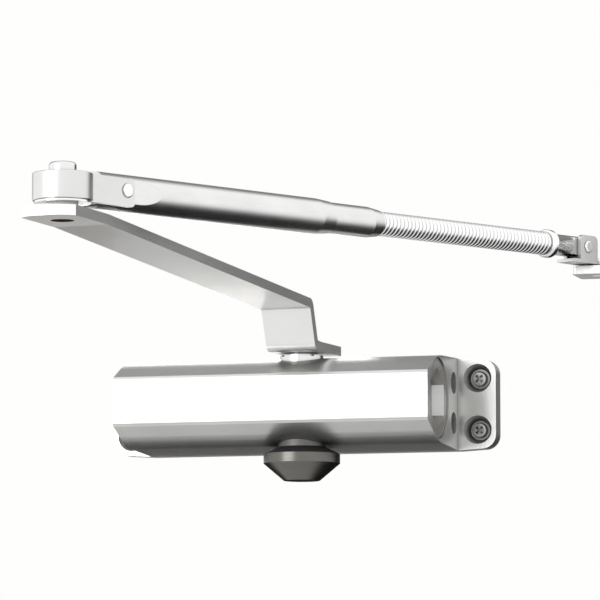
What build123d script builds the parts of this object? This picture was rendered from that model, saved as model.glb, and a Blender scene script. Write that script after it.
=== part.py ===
from build123d import *
import math
import os

# A rack and pinion surface door closer with a folding arm, in millimetres.
# X runs along the body, +Y points into the door, +Z is up. The origin is the
# centre of the four-screw pattern on the mounting face, so the door is at y = 0.

# Body casting
body_length = 146.4
foot_length = 17.8          # each foot beyond the body
body_depth = 65.0           # from the mounting face to the front face
front_height = 21.6         # flat front face
facet_depth = 18.0          # how far the upper and lower facets run back
facet_height = 38.6         # over the facets' rear edges
rear_height = 42.0          # at the mounting face
edge_radius = 1.8           # long edges of the front face
facet_blend_radius = 45.0   # shallow bend behind each facet
foot_thickness = 9.0
foot_tip_height = 40.0
foot_corner_radius = 6.5

# Fixing screws in the feet
screw_from_tip = 8.5        # screw axes from the foot's tip
screw_pitch_z = 23.5
recess_radius = 6.5         # tapered screw recess at the foot's front face
recess_floor_radius = 4.4
recess_depth = 5.5
screw_radius = 2.45
screw_neck_radius = 2.1     # plain neck inside the foot
screw_hole_radius = 2.75
screw_head_radius = 3.5
screw_head_height = 2.2
screw_cross_width = 1.1
screw_cross_length = 4.2
screw_cross_depth = 1.4
screw_reach = 24.0          # how far the screws stand out behind the mounting face

# Cylinder bore and its end plugs
bore_from_front = 21.0      # bore axis behind the front face
bore_radius = 16.0
plug_flange_radius = 18.3
plug_flange_thickness = 3.0
plug_face_depth = 0.8       # plug's face behind the casting's end face
plug_thread_radius = 17.0
plug_length = 13.0
plug_hex_across_flats = 24.0
plug_hex_depth = 5.5
plug_ring_radius = 1.15     # cross-section radius of the plug's sealing ring
plug_ring_from_flange = 4.0

# Speed valves beside the right-hand plug
valve_from_wall = 16.3      # valve axis in front of the mounting face
valve_height = 9.1          # valve axes above and below the middle
well_radius = 5.0
well_depth = 3.0
valve_radius = 4.0
valve_thread_length = 9.0
valve_face_depth = 1.0      # valve face below the floor of its well
valve_stem_radius = 2.4
valve_stem_length = 12.0
valve_tip_radius = 0.7
valve_tip_length = 5.0
valve_slot_width = 1.2
valve_slot_depth = 1.5
valve_ring_radius = 0.8
oil_port_radius = 1.3
port_from_end = 30.0        # closing port behind the right end face
port_spacing = 9.0          # latching port beyond the closing port

# Pinion and rack
pinion_from_end = 65.0      # pinion axis from the right end face
pinion_offset = 4.5         # pinion axis behind the bore axis
gear_module = 1.25
gear_teeth = 12
gear_height = 14.0
pressure_angle = 20.0
rack_addendum = 0.85        # short rack teeth, clear of a small pinion's roots
tooth_backlash = 0.16
journal_radius = 7.0
square_size = 10.0          # across the flats of the shaft's square ends
lower_square_length = 5.5
opening_angle = 170.0       # how far the arm turns from the closed position
bearing_wall = 1.6
bearing_height = 5.0
seal_height = 1.8
gland_radius = 9.7
gland_lip = 1.3
gland_rise = 1.3            # gland above the casting's top
boss_radius = 10.6
boss_drop = 0.7             # lower boss below the underside

# Cap under the pinion
gasket_radius = 17.2
gasket_thickness = 3.3
nipple_radius = 10.0
nipple_length = 7.0
cap_radius = 17.3
cap_rim_height = 4.2
cap_cone_height = 7.8
cap_nose_radius = 8.1
cap_cavity_radius = 8.0
cap_nose_wall = 2.2

# Piston and spring
piston_head = 10.0          # length of each solid end of the piston
window_margin = 1.0
piston_ring_width = 1.6
piston_ring_depth = 1.4
check_seat_radius = 3.0
check_seat_bore = 1.2
check_seat_length = 3.0
check_ball_radius = 1.7
check_cage_length = 2.0
spring_wire_radius = 1.6
spring_radius = 12.7        # to the middle of the wire
spring_turns = 5.5
spring_seat_thickness = 1.5

# Main arm, a flat bar bent up over the body
arm_width = 23.5
arm_thickness = 4.25
arm_bearing = 5.2          # degrees that the closed arm leans to the left
pad_gap = 2.1               # pad above the casting at the pinion
pad_back = 15.0             # pad behind the pinion axis
pad_front = 17.5            # lower bend in front of the pinion axis
riser_run = 6.7
riser_height = 18.4
bar_offset = 1.6            # bar's middle to the right of the pinion axis
arm_length = 267.4          # pinion axis to elbow axis, along the bar
arm_rise = 10.8             # elbow end above the upper bend
eye_flat = 18.0             # level part of the arm before the elbow axis
arm_end = 13.4              # end corners beyond the elbow axis
arm_end_bulge = 5.2
bend_radius = 2.0           # inner radius of the bends
pin_recess_radius = 4.75
pin_recess_depth = 1.7
arm_screw_radius = 3.0
arm_screw_head_radius = 5.2
arm_screw_head_height = 3.4
arm_screw_length = 14.0
arm_washer_radius = 8.5
arm_washer_thickness = 1.5
arm_screw_socket = 5.0      # across the flats of its hexagon socket

# Elbow
knuckle_radius = 12.1
knuckle_height = 11.2
elbow_pin_radius = 4.0
elbow_head_radius = 5.5
elbow_head_height = 4.4
elbow_head_fillet = 1.5
elbow_bush_wall = 1.6
elbow_washer_radius = 11.4
elbow_washer_thickness = 0.8
elbow_spacer_radius = 6.3
elbow_spacer_height = 2.55
strap_thickness = 2.2
strap_length = 33.0         # elbow axis to the ends of the knuckle's legs
elbow_rivet_from_axis = 28.8
elbow_rivet_radius = 2.3
elbow_rivet_head_radius = 2.9
rivet_head_height = 0.9

# Forearm
forearm_bearing = 25.5      # degrees from +Y towards +X
forearm_rise = 1.0          # degrees that it rises towards the shoe
forearm_above_middle = 0.9  # tube axis above the middle of the knuckle, at the rivet
tube_radius = 7.55
tube_start = 17.0           # distances along the forearm start at the elbow axis
tube_end = 150.2
tube_taper = 8.0
tube_mouth_radius = 6.95
tube_flat_width = 11.6
tube_flat_end = 38.0
flat_run_radius = 40.0
tube_bore_radius = 5.9
tube_bore_start = 62.0
sleeve_radius = 6.63
sleeve_depth = 33.0         # length of sleeve inside the tube
sleeve_reach = 32.6         # length of sleeve beyond the tube
sleeve_chamfer_length = 7.0
sleeve_nose_radius = 5.8
thread_radius = 5.3
thread_start = 152.0
collar_start = 307.7
collar_radius = 6.43
collar_length = 7.7
rod_radius = 4.8
shoe_rivet_at = 334.0
tongue_length = 7.0         # tongue before and around the shoe rivet
tongue_thickness = 5.8

# Shoe at the end of the forearm
shoe_rivet_radius = 2.3
shoe_rivet_head_radius = 2.75
leg_thickness = 2.0
leg_front = 5.5             # leg before the rivet
leg_back = 7.0              # leg beyond the rivet
leg_top = 5.2               # leg above the rivet
leg_corner_radius = 2.5
base_drop = 6.0             # top of the clevis base below the rivet
base_thickness = 1.4
base_front = 10.5
pivot_from_rivet = 14.0
pivot_radius = 3.0
pivot_head_radius = 5.0
pivot_head_height = 1.8
base_round_radius = 8.0
shoe_washer_radius = 6.5
shoe_washer_thickness = 0.5
bracket_thickness = 3.7
bracket_left = 10.5         # bracket left of the pivot
bracket_right = 56.0        # bracket right of the pivot
bracket_front = 10.0        # bracket in front of the pivot
bracket_back = 12.0         # bracket behind the pivot, to the wall face
bracket_corner_radius = 2.0
flange_start = 16.0         # wall flange right of the pivot
flange_height = 24.0        # over the leaf
flange_thickness = 4.0
bracket_hole_pitch = 25.0
bracket_hole_radius = 2.75

# Clearances
running_gap = 0.05          # radial, shafts in their bearings
fit_gap = 0.03              # pieces held in the same assembly
face_gap = 0.05             # between faces that slide
side_gap = 0.1              # tongues between their legs

# Places that follow from the sizes above
bore_y = bore_from_front - body_depth
end_x = body_length / 2
pinion_x = end_x - pinion_from_end
pinion_y = bore_y + pinion_offset
screw_x = end_x + foot_length - screw_from_tip
gear_radius = gear_module * gear_teeth / 2
gear_tip_radius = gear_radius + gear_module
stroke = gear_radius * math.radians(opening_angle)
pinion_axis = (pinion_x, pinion_y)
level = (Align.CENTER, Align.CENTER, Align.MIN)


def half_height(y):
    """Half the casting's height at a place on its sloping top."""
    facet_y = facet_depth - body_depth
    slope = (rear_height - facet_height) / 2 / (-foot_thickness - facet_y)
    return facet_height / 2 + slope * (y - facet_y)


gland_top = half_height(pinion_y) + gland_rise
boss_bottom = -half_height(pinion_y) - boss_drop
gasket_bottom = boss_bottom - gasket_thickness
pad_bottom = half_height(pinion_y) + pad_gap
pad_top = pad_bottom + arm_thickness
upper_bend_z = pad_bottom + riser_height
eye_bottom = upper_bend_z + arm_rise
eye_top = eye_bottom + arm_thickness
washer_bottom = eye_top + elbow_spacer_height
knuckle_bottom = washer_bottom + elbow_washer_thickness + face_gap
knuckle_top = knuckle_bottom + knuckle_height


def heading(degrees):
    """Unit vector at a compass bearing, from +Y towards +X."""
    return Vector(math.sin(math.radians(degrees)), math.cos(math.radians(degrees)), 0)


arm_heading = heading(180 + arm_bearing)
arm_side = Vector(0, 0, 1).cross(arm_heading)
elbow = Vector(pinion_x, pinion_y, 0) + arm_heading * arm_length + arm_side * bar_offset
forearm_heading = heading(forearm_bearing)
elbow_rivet = elbow + forearm_heading * elbow_rivet_from_axis
elbow_rivet_z = knuckle_bottom + knuckle_height / 2 + forearm_above_middle
forearm_axis = forearm_heading * math.cos(math.radians(forearm_rise)) \
    + Vector(0, 0, math.sin(math.radians(forearm_rise)))
forearm_zero = Vector(elbow_rivet.X, elbow_rivet.Y, elbow_rivet_z) - forearm_axis * elbow_rivet_from_axis
shoe_rivet = forearm_zero + forearm_axis * shoe_rivet_at
pivot = shoe_rivet + forearm_heading * pivot_from_rivet
base_bottom = shoe_rivet.Z - base_drop - base_thickness
leaf_top = base_bottom - shoe_washer_thickness - 2 * face_gap
leaf_bottom = leaf_top - bracket_thickness

elbow_frame = Plane(origin=(elbow.X, elbow.Y, 0), x_dir=forearm_heading, z_dir=(0, 0, 1))
forearm_frame = Plane(origin=forearm_zero, x_dir=forearm_axis,
                      z_dir=forearm_axis.cross(Vector(0, 0, 1)).cross(forearm_axis))
clevis_frame = Plane(origin=shoe_rivet, x_dir=forearm_heading, z_dir=(0, 0, 1))
arm_frame = Plane(origin=(pinion_x, pinion_y, 0), x_dir=arm_heading, z_dir=(0, 0, 1))


def upright(x, y, low, high, radius, bore=0.0):
    """A vertical cylinder or ring between two heights."""
    shape = Pos(x, y, low) * Cylinder(radius, high - low, align=level)
    if bore > 0:
        shape -= Pos(x, y, low - 1) * Cylinder(bore, high - low + 2, align=level)
    return shape


def lengthwise(y, z, left, right, radius, bore=0.0):
    """A cylinder or ring along X between two places."""
    shape = Pos(left, y, z) * Rot(0, 90, 0) * Cylinder(radius, right - left, align=level)
    if bore > 0:
        shape -= Pos(left - 1, y, z) * Rot(0, 90, 0) * Cylinder(bore, right - left + 2, align=level)
    return shape


def along_forearm(start, stop, radius):
    """A cylinder on the forearm's axis."""
    return forearm_frame * (Pos(start, 0, 0) * Rot(0, 90, 0) * Cylinder(radius, stop - start, align=level))


def along_forearm_cone(start, stop, radius, end_radius):
    """A cone on the forearm's axis."""
    cone = Cone(radius, end_radius, stop - start, align=level)
    return forearm_frame * (Pos(start, 0, 0) * Rot(0, 90, 0) * cone)


def crosswise(frame, x, z, half_length, radius):
    """A pin across a frame, along its Y."""
    return frame * (Pos(x, 0, z) * Rot(90, 0, 0) * Cylinder(radius, 2 * half_length))


def block(x0, x1, y0, y1, z0, z1):
    """A box between two corners."""
    return Pos(x0, y0, z0) * Box(x1 - x0, y1 - y0, z1 - z0, align=(Align.MIN, Align.MIN, Align.MIN))


def domed_rivet(frame, x, half_grip, radius, head_radius):
    """A rivet across a frame with a low round head on each side."""
    rivet = crosswise(frame, x, 0, half_grip + rivet_head_height, head_radius)
    rivet = fillet(rivet.edges(), rivet_head_height * 0.8)
    waist = crosswise(frame, x, 0, half_grip, head_radius + 1) - crosswise(frame, x, 0, half_grip + 1, radius)
    return rivet - waist


def screw_places():
    """X and Z of the four fixing screws."""
    return [(sx * screw_x, sz * screw_pitch_z / 2) for sx in (-1, 1) for sz in (-1, 1)]


def casting_blank():
    """The prismatic body, its facets and the plate whose ends are the feet."""
    facet_y = facet_depth - body_depth
    upper = [(0, rear_height / 2), (-foot_thickness, rear_height / 2),
             (facet_y, facet_height / 2), (-body_depth, front_height / 2)]
    lower = [(y, -z) for y, z in reversed(upper)]
    face = make_face(Polyline(*upper, *lower, close=True))
    body = extrude(Plane.YZ * face, amount=end_x, both=True)
    front_edges = body.edges().filter_by(Axis.X).filter_by_position(Axis.Y, -body_depth, facet_y)
    body = fillet(front_edges.group_by(Axis.Y)[0], edge_radius)
    rear_edges = body.edges().filter_by(Axis.X).filter_by_position(Axis.Y, facet_y - 0.1, facet_y + 0.1)
    body = fillet(rear_edges, facet_blend_radius)
    tip = end_x + foot_length
    outline = [(-tip, foot_tip_height / 2), (-end_x, rear_height / 2), (end_x, rear_height / 2),
               (tip, foot_tip_height / 2)]
    outline += [(x, -z) for x, z in reversed(outline)]
    plate = extrude(Plane.XZ * make_face(Polyline(*outline, close=True)), amount=foot_thickness)
    corners = plate.edges().filter_by(Axis.Y).group_by(Axis.X)
    plate = fillet(corners[0] + corners[-1], foot_corner_radius)
    return body + plate


def screw_recess(x, z):
    """Tapered recess, seat and hole for one fixing screw."""
    taper = Cone(recess_radius, recess_floor_radius, recess_depth, align=level)
    hole = Cylinder(screw_hole_radius, foot_thickness + 2, align=level)
    return Pos(x, -foot_thickness, z) * Rot(-90, 0, 0) * (taper + hole)


def valve_bores():
    """Wells, valve bores, oil gallery and ports on both valve axes."""
    cut = None
    port_x = end_x - port_from_end
    spring_port_x = -end_x + plug_length + 2 * oil_port_radius
    for side, shift in ((1, 0), (-1, port_spacing)):
        y, z = -valve_from_wall, side * valve_height
        thread_end = end_x - well_depth - valve_face_depth - valve_thread_length - 1
        tools = lengthwise(y, z, end_x - well_depth, end_x + 1, well_radius)
        tools += lengthwise(y, z, thread_end, end_x, valve_radius + fit_gap)
        tools += lengthwise(y, z, port_x, end_x - well_depth, valve_stem_radius + 0.4)
        tools += lengthwise(y, z, spring_port_x, port_x + 1, oil_port_radius)
        for x in (port_x + shift, spring_port_x):
            port = Cylinder(oil_port_radius, y - bore_y - bore_radius / 2, align=level)
            tools += Pos(x, bore_y + bore_radius / 2, z) * Rot(-90, 0, 0) * port
        cut = tools if cut is None else cut + tools
    return cut


def housing():
    """The casting with its bores, bosses and screw recesses."""
    x, y = pinion_axis
    body = casting_blank()
    body += upright(x, y, boss_bottom, 0, boss_radius)
    body += upright(x, y, boss_bottom - nipple_length, 0, nipple_radius)
    body -= lengthwise(bore_y, 0, -end_x - 1, end_x + 1, bore_radius)
    for side in (-1, 1):
        flange_in = end_x - plug_face_depth - plug_flange_thickness - fit_gap
        thread_in = end_x - plug_length - fit_gap
        ends = sorted((side * flange_in, side * (end_x + 1)))
        body -= lengthwise(bore_y, 0, *ends, plug_flange_radius + fit_gap)
        ends = sorted((side * thread_in, side * (end_x + 1)))
        body -= lengthwise(bore_y, 0, *ends, plug_thread_radius + fit_gap)
    body -= upright(x, y, 0, gland_top + 2, gland_radius + fit_gap)
    body -= upright(x, y, lower_bearing_low() - seal_height - 2 * fit_gap, 0,
                    journal_radius + bearing_wall + fit_gap)
    body -= upright(x, y, boss_bottom - nipple_length - 1, 0, journal_radius + 0.3)
    for place in screw_places():
        body -= screw_recess(*place)
    return body - valve_bores()


def lower_bearing_low():
    """Lower end of the lower bearing."""
    return -bore_radius - bearing_height


def end_plug(side):
    """Threaded plug with a flange and a hexagon socket."""
    inner = end_x - plug_length
    face = end_x - plug_face_depth
    groove = face - plug_flange_thickness - plug_ring_from_flange
    width = plug_ring_radius + 0.05
    floor = plug_thread_radius - 2 * plug_ring_radius - 0.05
    plug = lengthwise(bore_y, 0, inner, face, plug_thread_radius)
    plug += lengthwise(bore_y, 0, face - plug_flange_thickness, face, plug_flange_radius)
    plug = chamfer(plug.edges().filter_by(GeomType.CIRCLE).group_by(Axis.X)[-1], 0.4)
    plug -= lengthwise(bore_y, 0, groove - width, groove + width, plug_thread_radius + 1, floor)
    socket_radius = plug_hex_across_flats / math.sqrt(3)
    prism = extrude(RegularPolygon(socket_radius, 6), amount=plug_hex_depth + 1)
    plug -= Pos(face - plug_hex_depth, bore_y, 0) * Rot(0, 90, 0) * prism
    return plug if side > 0 else plug.mirror(Plane.YZ)


def plug_rings():
    """A sealing ring in the groove of each end plug."""
    centre = end_x - plug_face_depth - plug_flange_thickness - plug_ring_from_flange
    ring = Rot(0, 90, 0) * Torus(plug_thread_radius - plug_ring_radius, plug_ring_radius)
    return [Pos(side * centre, bore_y, 0) * ring for side in (-1, 1)]


def speed_valve(side):
    """Slotted valve screw with a needle tip, on one valve axis."""
    y, z = -valve_from_wall, side * valve_height
    face = end_x - well_depth - valve_face_depth
    inner = face - valve_thread_length
    stem_end = inner - valve_stem_length
    valve = lengthwise(y, z, inner, face, valve_radius)
    groove = inner + 2 * valve_ring_radius
    valve -= lengthwise(y, z, groove - valve_ring_radius - 0.05, groove + valve_ring_radius + 0.05,
                        valve_radius + 1, valve_radius - 2 * valve_ring_radius - 0.05)
    valve += lengthwise(y, z, stem_end, inner, valve_stem_radius)
    tip = Cone(valve_tip_radius, valve_stem_radius, valve_tip_length, align=level)
    valve += Pos(stem_end - valve_tip_length, y, z) * Rot(0, 90, 0) * tip
    slot = block(face - valve_slot_depth, face + 1, y - valve_radius - 1, y + valve_radius + 1,
                 z - valve_slot_width / 2, z + valve_slot_width / 2)
    return valve - slot


def valve_rings():
    """The sealing ring on each speed valve."""
    x = end_x - well_depth - valve_face_depth - valve_thread_length + 2 * valve_ring_radius
    ring = Rot(0, 90, 0) * Torus(valve_radius - valve_ring_radius, valve_ring_radius)
    return {side: Pos(x, -valve_from_wall, side * valve_height) * ring for side in (-1, 1)}


def fixing_screws():
    """Four pan head screws with a cross recess, seated in the feet."""
    seat = recess_depth - foot_thickness
    screws = []
    for x, z in screw_places():
        head = Cylinder(screw_head_radius, screw_head_height, align=level)
        head = fillet(head.edges().group_by(Axis.Z)[-1], screw_head_height * 0.55)
        for turn in (45, 135):
            cross = Box(screw_cross_width, screw_cross_length, 2 * screw_cross_depth)
            head -= Rot(0, 0, turn) * Pos(0, 0, screw_head_height) * cross
        shank = Pos(0, 0, -screw_reach + seat) * Cylinder(screw_radius, screw_reach - 0.5, align=level)
        shank += Pos(0, 0, seat - 1) * Cylinder(screw_neck_radius, 1 - seat, align=level)
        point = Cone(0.3, screw_radius, 5.0, align=level)
        screw = head + shank + Pos(0, 0, -screw_reach + seat - 5.0) * point
        screws.append(Pos(x, seat - fit_gap, z) * Rot(90, 0, 0) * screw)
    return screws


def gear_flank(radius):
    """Half the angle of a tooth at a radius, from the involute of its base circle."""
    base = gear_radius * math.cos(math.radians(pressure_angle))
    half = math.pi / 2 / gear_teeth - tooth_backlash / 2 / gear_radius

    def involute(at):
        angle = math.acos(min(1.0, base / at))
        return math.tan(angle) - angle
    return half + involute(gear_radius) - involute(max(radius, base))


def gear_outline():
    """Closed outline of the pinion's teeth, with a space pointing at the rack."""
    base = gear_radius * math.cos(math.radians(pressure_angle))
    root = gear_radius - 1.25 * gear_module
    step = 2 * math.pi / gear_teeth
    edges = []

    def point(radius, angle):
        return (radius * math.cos(angle), radius * math.sin(angle))
    for k in range(gear_teeth):
        middle = math.pi / 2 + (k + 0.5) * step
        radii = [base + (gear_tip_radius - base) * i / 4 for i in range(5)]
        left = [point(r, middle - gear_flank(r)) for r in radii]
        right = [point(r, middle + gear_flank(r)) for r in reversed(radii)]
        foot_angle = gear_flank(base)
        edges.append(Line(point(root, middle - foot_angle), left[0]))
        edges.append(Spline(*left))
        edges.append(ThreePointArc(left[-1], point(gear_tip_radius, middle), right[0]))
        edges.append(Spline(*right))
        edges.append(Line(right[-1], point(root, middle + foot_angle)))
        following = point(root, middle + step - foot_angle)
        floor = point(root, middle + step / 2)
        edges.append(ThreePointArc(point(root, middle + foot_angle), floor, following))
    return make_face(edges)


def pinion_shaft():
    """Pinion with its journals, its two square ends and the arm screw's thread."""
    x, y = pinion_axis
    shaft = upright(x, y, boss_bottom - nipple_length, pad_bottom - face_gap, journal_radius)
    cutter = upright(x, y, -gear_height / 2 - 1, gear_height / 2 + 1, journal_radius + 1)
    shaft -= cutter
    neck = gear_radius - 1.25 * gear_module
    shaft += upright(x, y, -gear_height / 2 - 1.5, gear_height / 2 + 1.5, neck)
    shaft += Pos(x, y, -gear_height / 2) * extrude(gear_outline(), amount=gear_height)
    upper = Box(square_size, square_size, arm_thickness - 0.4, align=level)
    lower = Box(square_size, square_size, lower_square_length, align=level)
    shaft += Pos(x, y, pad_bottom - face_gap) * Rot(0, 0, -arm_bearing) * upper
    shaft += Pos(x, y, boss_bottom - nipple_length - lower_square_length) * Rot(0, 0, -arm_bearing) * lower
    return shaft - upright(x, y, pad_top - arm_screw_length - 1, pad_top + 1, arm_screw_radius + fit_gap)


def shaft_ring(low, high):
    """A bearing or seal round the shaft."""
    return upright(*pinion_axis, low, high, journal_radius + bearing_wall, journal_radius + running_gap)


def upper_stack():
    """Heights of the upper bearing's lower end, the seal and the gland's lip."""
    lip_low = gland_top - gland_lip
    seal_low = lip_low - seal_height
    return seal_low - bearing_height, seal_low, lip_low


def upper_gland():
    """Threaded gland that holds the upper bearing and the shaft seal."""
    bearing_low, seal_low, lip_low = upper_stack()
    inner = journal_radius + bearing_wall + fit_gap
    gland = upright(*pinion_axis, bearing_low, gland_top, gland_radius, journal_radius + 0.3)
    gland -= upright(*pinion_axis, bearing_low - 1, lip_low, inner)
    for turn in range(4):
        notch = Rot(0, 0, 45 + 90 * turn) * Pos(gland_radius, 0, gland_top) * Box(2.4, 2.0, 1.6)
        gland -= Pos(pinion_x, pinion_y, 0) * notch
    return gland


def pinion_cap():
    """Turned cap with a short rim and a cone, hollow over the shaft's lower end."""
    x, y = pinion_axis
    rim_low = gasket_bottom - cap_rim_height
    nose_low = rim_low - cap_cone_height
    cap = upright(x, y, rim_low, gasket_bottom, cap_radius)
    cone = Cone(cap_nose_radius, cap_radius, cap_cone_height, align=level)
    cap += Pos(x, y, nose_low) * cone
    nose_edge = cap.edges().filter_by(GeomType.CIRCLE).group_by(Axis.Z)[0]
    cap = fillet(nose_edge, 0.6)
    nipple_low = boss_bottom - nipple_length
    cap -= upright(x, y, nipple_low - fit_gap, gasket_bottom + 1, nipple_radius + fit_gap)
    return cap - upright(x, y, nose_low + cap_nose_wall, gasket_bottom, cap_cavity_radius)


def cap_gasket():
    """Black rubber ring between the lower boss and the cap."""
    cone = Cone(gasket_radius, boss_radius, gasket_thickness, align=level)
    gasket = Pos(*pinion_axis, gasket_bottom) * cone
    return gasket - upright(*pinion_axis, gasket_bottom - 1, boss_bottom + 1, nipple_radius + fit_gap)


def piston_ends():
    """X of the piston's left face, its window and its right face."""
    window_left = pinion_x - gland_radius - window_margin
    window_right = pinion_x + stroke + gland_radius + window_margin
    return window_left - piston_head, window_left, window_right, window_right + piston_head


def piston():
    """Piston with the window that the pinion stands in, and the rack on its rear side."""
    left, window_left, window_right, right = piston_ends()
    root_y = pinion_y + gear_radius + 1.25 * gear_module
    front_y = pinion_y - gland_radius - 0.5
    body = lengthwise(bore_y, 0, left, right, bore_radius - running_gap)
    body -= block(window_left, window_right, front_y, root_y, -bore_radius, bore_radius)
    for face, into in ((left, 1), (right, -1)):
        start, stop = sorted((face + into * 3.0, face + into * (3.0 + piston_ring_width)))
        body -= lengthwise(bore_y, 0, start, stop, bore_radius + 1, bore_radius - piston_ring_depth)
    body += rack_teeth(root_y, window_left, window_right)
    body -= lengthwise(bore_y, 0, right - check_seat_length, right + 1, check_seat_radius + fit_gap)
    cage_left = right - check_seat_length - 2 * check_ball_radius - check_cage_length - 0.4
    body -= lengthwise(bore_y, 0, cage_left, right, check_seat_radius - 0.6)
    return body - lengthwise(bore_y, 0, window_right - 1, right, check_seat_bore)


def rack_teeth(root_y, window_left, window_right):
    """Straight rack teeth in step with the pinion."""
    pitch = math.pi * gear_module
    slope = math.tan(math.radians(pressure_angle))
    half = pitch / 4 - tooth_backlash / 2
    tip_y = pinion_y + gear_radius - rack_addendum
    tip_half = half - rack_addendum * slope
    root_half = half + 1.25 * gear_module * slope
    outline = Polyline((-root_half, root_y + 0.3), (-root_half, root_y), (-tip_half, tip_y),
                       (tip_half, tip_y), (root_half, root_y), (root_half, root_y + 0.3), close=True)
    tooth = extrude(make_face(outline), amount=gear_height / 2 + 0.5, both=True)
    first = math.ceil((window_left + root_half - pinion_x) / pitch)
    last = math.floor((window_right - root_half - pinion_x) / pitch)
    return [Pos(pinion_x + k * pitch, 0, 0) * tooth for k in range(first, last + 1)]


def piston_rings():
    """A seal ring in the groove of each piston head."""
    left, _, _, right = piston_ends()
    rings = []
    for start in (left + 3.0, right - 3.0 - piston_ring_width):
        rings.append(lengthwise(bore_y, 0, start + fit_gap, start + piston_ring_width - fit_gap,
                                bore_radius - running_gap, bore_radius - piston_ring_depth + fit_gap))
    return rings


def check_valve():
    """Seat, ball and cage of the one-way valve in the piston's right head."""
    right = piston_ends()[3]
    seat_left = right - check_seat_length
    ball_x = seat_left - check_ball_radius + 0.45
    seat = lengthwise(bore_y, 0, seat_left, right, check_seat_radius, check_seat_bore)
    seat -= Pos(ball_x, bore_y, 0) * Sphere(check_ball_radius + 0.02)
    ball = Pos(ball_x, bore_y, 0) * Sphere(check_ball_radius)
    cage_right = ball_x - check_ball_radius - 0.3
    cage = lengthwise(bore_y, 0, cage_right - check_cage_length + 0.5, cage_right,
                      check_seat_radius - 0.6 - fit_gap, 0.8)
    return seat, ball, cage


def closing_spring():
    """Round wire helix between its seat and the piston."""
    seat_face = -end_x + plug_length + spring_seat_thickness
    room = piston_ends()[0] - seat_face - 2 * spring_wire_radius - 2 * face_gap
    path = Helix(pitch=room / spring_turns, height=room, radius=spring_radius)
    profile = Plane(origin=path @ 0, z_dir=path % 0) * Circle(spring_wire_radius)
    wire = sweep(profile, path)
    return Pos(seat_face + spring_wire_radius + face_gap, bore_y, 0) * Rot(0, 90, 0) * wire


def spring_seat():
    """Hardened disc that the spring presses on, against the left plug."""
    left = -end_x + plug_length
    return lengthwise(bore_y, 0, left, left + spring_seat_thickness, bore_radius - 0.3, 4.0)


def main_arm():
    """Flat bar arm, bent in side view and rounded at its elbow end."""
    lower = bar_line(0)
    upper = bar_line(arm_thickness)
    side = make_face(Polyline(*lower, *reversed(upper), close=True))
    bar = extrude(Plane.XZ * side, amount=arm_width / 2, both=True)
    bends = bar.edges().filter_by(Axis.Y).filter_by_position(Axis.X, pad_front - 5, pad_front + riser_run + 5)
    inner = [e for e in bends if is_inner_bend(e)]
    outer = [e for e in bends if not is_inner_bend(e)]
    bar = fillet(inner, bend_radius)
    bar = fillet(match_edges(bar, outer), bend_radius + arm_thickness * 0.6)
    chord = arm_width / 2
    radius = (chord ** 2 + arm_end_bulge ** 2) / 2 / arm_end_bulge
    tip = arm_length + arm_end + arm_end_bulge
    end_keep = Pos(tip - radius, 0, eye_bottom - 1) * Cylinder(radius, arm_thickness + 2, align=level)
    end_keep += block(-pad_back - 1, arm_length + arm_end, -chord - 1, chord + 1,
                      pad_bottom - 1, eye_top + 1)
    bar = Pos(0, bar_offset, 0) * (bar & end_keep)
    opening = square_size + 2 * fit_gap
    bar -= Pos(0, 0, pad_bottom - 1) * Box(opening, opening, arm_thickness + 2, align=level)
    eye = Pos(arm_length, bar_offset, eye_bottom - 1)
    bar -= eye * Cylinder(pin_recess_radius, pin_recess_depth + 1, align=level)
    bar -= eye * Cylinder(elbow_pin_radius + fit_gap, arm_thickness + 2, align=level)
    return arm_frame * bar


def bar_line(lift):
    """Corners of the bar's lower face, or of its upper face, in side view."""
    upper_bend = pad_front + riser_run
    lean = math.atan2(riser_height, riser_run)
    climb = math.atan2(arm_rise, arm_length - eye_flat - upper_bend)
    first = lift * math.tan(lean / 2)
    second = lift * math.tan((lean - climb) / 2)
    third = lift * math.tan(climb / 2)
    tip = arm_length + arm_end + arm_end_bulge
    return [(-pad_back, pad_bottom + lift), (pad_front - first, pad_bottom + lift),
            (upper_bend - second * math.cos(climb) - lift * math.sin(climb),
             upper_bend_z + lift * math.cos(climb) - second * math.sin(climb)),
            (arm_length - eye_flat - third, eye_bottom + lift), (tip, eye_bottom + lift)]


def is_inner_bend(edge):
    """Whether a bend edge lies on the inside of its bend."""
    centre = edge.center()
    on_lower = centre.Z < pad_bottom + 0.01
    on_upper_top = centre.Z > upper_bend_z + arm_thickness * 0.5
    return not (on_lower or on_upper_top)


def match_edges(shape, wanted):
    """Edges of a shape that lie where the wanted ones did."""
    found = []
    for edge in shape.edges().filter_by(Axis.Y):
        if any((edge.center() - other.center()).length < 0.01 for other in wanted):
            found.append(edge)
    return found


def arm_screw():
    """Socket head screw that clamps the arm on the pinion's square."""
    x, y = pinion_axis
    head_low = pad_top + arm_washer_thickness
    screw = upright(x, y, head_low, head_low + arm_screw_head_height, arm_screw_head_radius)
    screw = fillet(screw.edges().group_by(Axis.Z)[-1], 0.6)
    screw += upright(x, y, pad_top - arm_screw_length, head_low, arm_screw_radius)
    socket = extrude(RegularPolygon(arm_screw_socket / math.sqrt(3), 6), amount=arm_screw_head_height)
    return screw - Pos(x, y, head_low + arm_screw_head_height * 0.35) * socket


def elbow_pin():
    """Pin riveted into the arm's eye, with a round head above the knuckle."""
    head_low = knuckle_top + face_gap
    head = upright(elbow.X, elbow.Y, head_low, head_low + elbow_head_height, elbow_head_radius)
    head = fillet(head.edges().group_by(Axis.Z)[-1], elbow_head_fillet)
    return head + upright(elbow.X, elbow.Y, eye_bottom + pin_recess_depth, head_low, elbow_pin_radius)


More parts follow.
